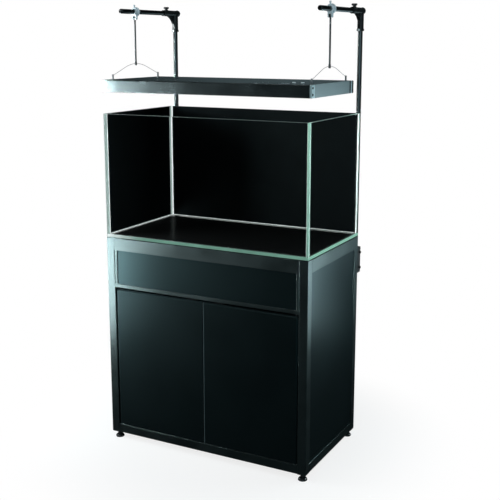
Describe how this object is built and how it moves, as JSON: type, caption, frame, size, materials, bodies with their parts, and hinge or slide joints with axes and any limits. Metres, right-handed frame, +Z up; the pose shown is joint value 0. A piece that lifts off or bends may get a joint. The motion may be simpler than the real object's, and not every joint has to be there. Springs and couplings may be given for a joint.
{
  "type": "aquarium on stand",
  "caption": "Glass aquarium on a black aluminium cabinet stand with hinged doors, levelling feet and a flat lamp hung from two rear masts.",
  "frame": {"origin": "on the floor, under the middle of the whole object", "axes": "+X to the right seen from the front, +Y to the back, +Z up"},
  "size_m": [0.912, 0.5478, 1.8005],
  "materials": {
    "frame_aluminium": "black anodised, satin",
    "panel": "satin black faced board",
    "door": "satin black faced board",
    "board": "black faced board",
    "mat": "soft foam",
    "glass": "clear, pale green edges",
    "film": "black film",
    "sealant": "clear silicone",
    "catch": "moulded",
    "steel": "bright",
    "black_steel": "black oxide",
    "foot": "moulded pad on a steel stud",
    "bush": "moulded",
    "mast_tube": "black anodised tube",
    "elbow": "moulded black",
    "knob": "moulded black",
    "nickel": "bright nickel",
    "lamp_shell": "black anodised, satin",
    "lamp_cap": "pale anodised",
    "diffuser": "opal sheet",
    "led_board": "white faced board",
    "button": "pale",
    "gland": "moulded"
  },
  "bodies": {
    "stand": {"post_front_left": "frame_aluminium", "post_front_right": "frame_aluminium", "post_rear_left": "frame_aluminium", "post_rear_right": "frame_aluminium", "top_rail_front": "frame_aluminium", "top_rail_rear": "frame_aluminium", "top_rails_side": "frame_aluminium", "bottom_rail_front": "frame_aluminium", "bottom_rail_rear": "frame_aluminium", "bottom_rails_side": "frame_aluminium", "mid_rail": "frame_aluminium", "fascia_stiles": "frame_aluminium", "fascia_panel": "panel", "side_panel_left": "panel", "side_panel_right": "panel", "back_panel": "panel", "floor_board": "board", "deck_board": "board", "levelling_mat": "mat", "door_catches": "catch", "hinge_pins": "steel", "foot_bushes": "bush", "base_glass": "glass", "front_glass": "glass", "back_glass": "glass", "left_glass": "glass", "right_glass": "glass", "background_films": "film", "silicone_bead": "sealant", "mast_brackets": "frame_aluminium", "bracket_bolts": "black_steel"},
    "door_left": {"door_left": "door"},
    "door_right": {"door_right": "door"},
    "foot_front_left": {"foot_front_left": "foot"},
    "foot_front_right": {"foot_front_right": "foot"},
    "foot_rear_left": {"foot_rear_left": "foot"},
    "foot_rear_right": {"foot_rear_right": "foot"},
    "mast_left": {"mast_left": "mast_tube", "arm_left": "mast_tube", "elbow_left": "elbow", "elbow_screw_left": "nickel"},
    "mast_right": {"mast_right": "mast_tube", "arm_right": "mast_tube", "elbow_right": "elbow", "elbow_screw_right": "nickel"},
    "knob_left": {"knob_left": "knob"},
    "knob_right": {"knob_right": "knob"},
    "clamp_left": {"clamp_left": "nickel"},
    "clamp_right": {"clamp_right": "nickel"},
    "lamp": {"lamp_housing": "lamp_shell", "lamp_end_caps": "lamp_cap", "lamp_screws": "black_steel", "lamp_diffuser": "diffuser", "led_boards": "led_board", "hanger_posts": "black_steel", "hanger_rods": "black_steel", "sling_wires": "steel", "cable_gland": "gland"},
    "button_power": {"button_power": "button"},
    "button_mode": {"button_mode": "button"}
  },
  "joints": [
    {"name": "door_left_hinge", "type": "hinge", "parent": "stand", "child": "door_left", "pos_m": [-0.403, -0.2649, 0.36], "axis": [0, 0, -1], "range_deg": [0, 100]},
    {"name": "door_right_hinge", "type": "hinge", "parent": "stand", "child": "door_right", "pos_m": [0.403, -0.2649, 0.36], "axis": [0, 0, 1], "range_deg": [0, 100]},
    {"name": "foot_front_left_level", "type": "slide", "parent": "stand", "child": "foot_front_left", "axis": [0, 0, -1], "range_m": [0, 0.015]},
    {"name": "foot_front_right_level", "type": "slide", "parent": "stand", "child": "foot_front_right", "axis": [0, 0, -1], "range_m": [0, 0.015]},
    {"name": "foot_rear_left_level", "type": "slide", "parent": "stand", "child": "foot_rear_left", "axis": [0, 0, -1], "range_m": [0, 0.015]},
    {"name": "foot_rear_right_level", "type": "slide", "parent": "stand", "child": "foot_rear_right", "axis": [0, 0, -1], "range_m": [0, 0.015]},
    {"name": "mast_left_height", "type": "slide", "parent": "stand", "child": "mast_left", "axis": [0, 0, 1], "range_m": [-0.05, 0.1]},
    {"name": "mast_right_height", "type": "slide", "parent": "stand", "child": "mast_right", "axis": [0, 0, 1], "range_m": [-0.05, 0.1]},
    {"name": "knob_left_turn", "type": "hinge", "parent": "mast_left", "child": "knob_left", "pos_m": [-0.432, 0.1739, 1.773], "axis": [0, 0, 1], "range_deg": [0, 360]},
    {"name": "knob_right_turn", "type": "hinge", "parent": "mast_right", "child": "knob_right", "pos_m": [0.432, 0.1739, 1.773], "axis": [0, 0, 1], "range_deg": [0, 360]},
    {"name": "clamp_left_reach", "type": "slide", "parent": "mast_left", "child": "clamp_left", "axis": [0, 1, 0], "range_m": [-0.085, 0.03]},
    {"name": "clamp_right_reach", "type": "slide", "parent": "mast_right", "child": "clamp_right", "axis": [0, 1, 0], "range_m": [-0.085, 0.03]},
    {"name": "lamp_swing", "type": "hinge", "parent": "clamp_left", "child": "lamp", "pos_m": [-0.432, -0.0629, 1.748], "axis": [1, 0, 0], "range_deg": [-8, 8]},
    {"name": "button_power_press", "type": "slide", "parent": "lamp", "child": "button_power", "axis": [0, 0, -1], "range_m": [0, 0.0015], "stiffness_N_per_m": 400},
    {"name": "button_mode_press", "type": "slide", "parent": "lamp", "child": "button_mode", "axis": [0, 0, -1], "range_m": [0, 0.0015], "stiffness_N_per_m": 400}
  ],
  "couplings": [
    {"joint": "mast_right_height", "follows": "mast_left_height", "ratio": 1},
    {"joint": "clamp_right_reach", "follows": "clamp_left_reach", "ratio": 1}
  ]
}
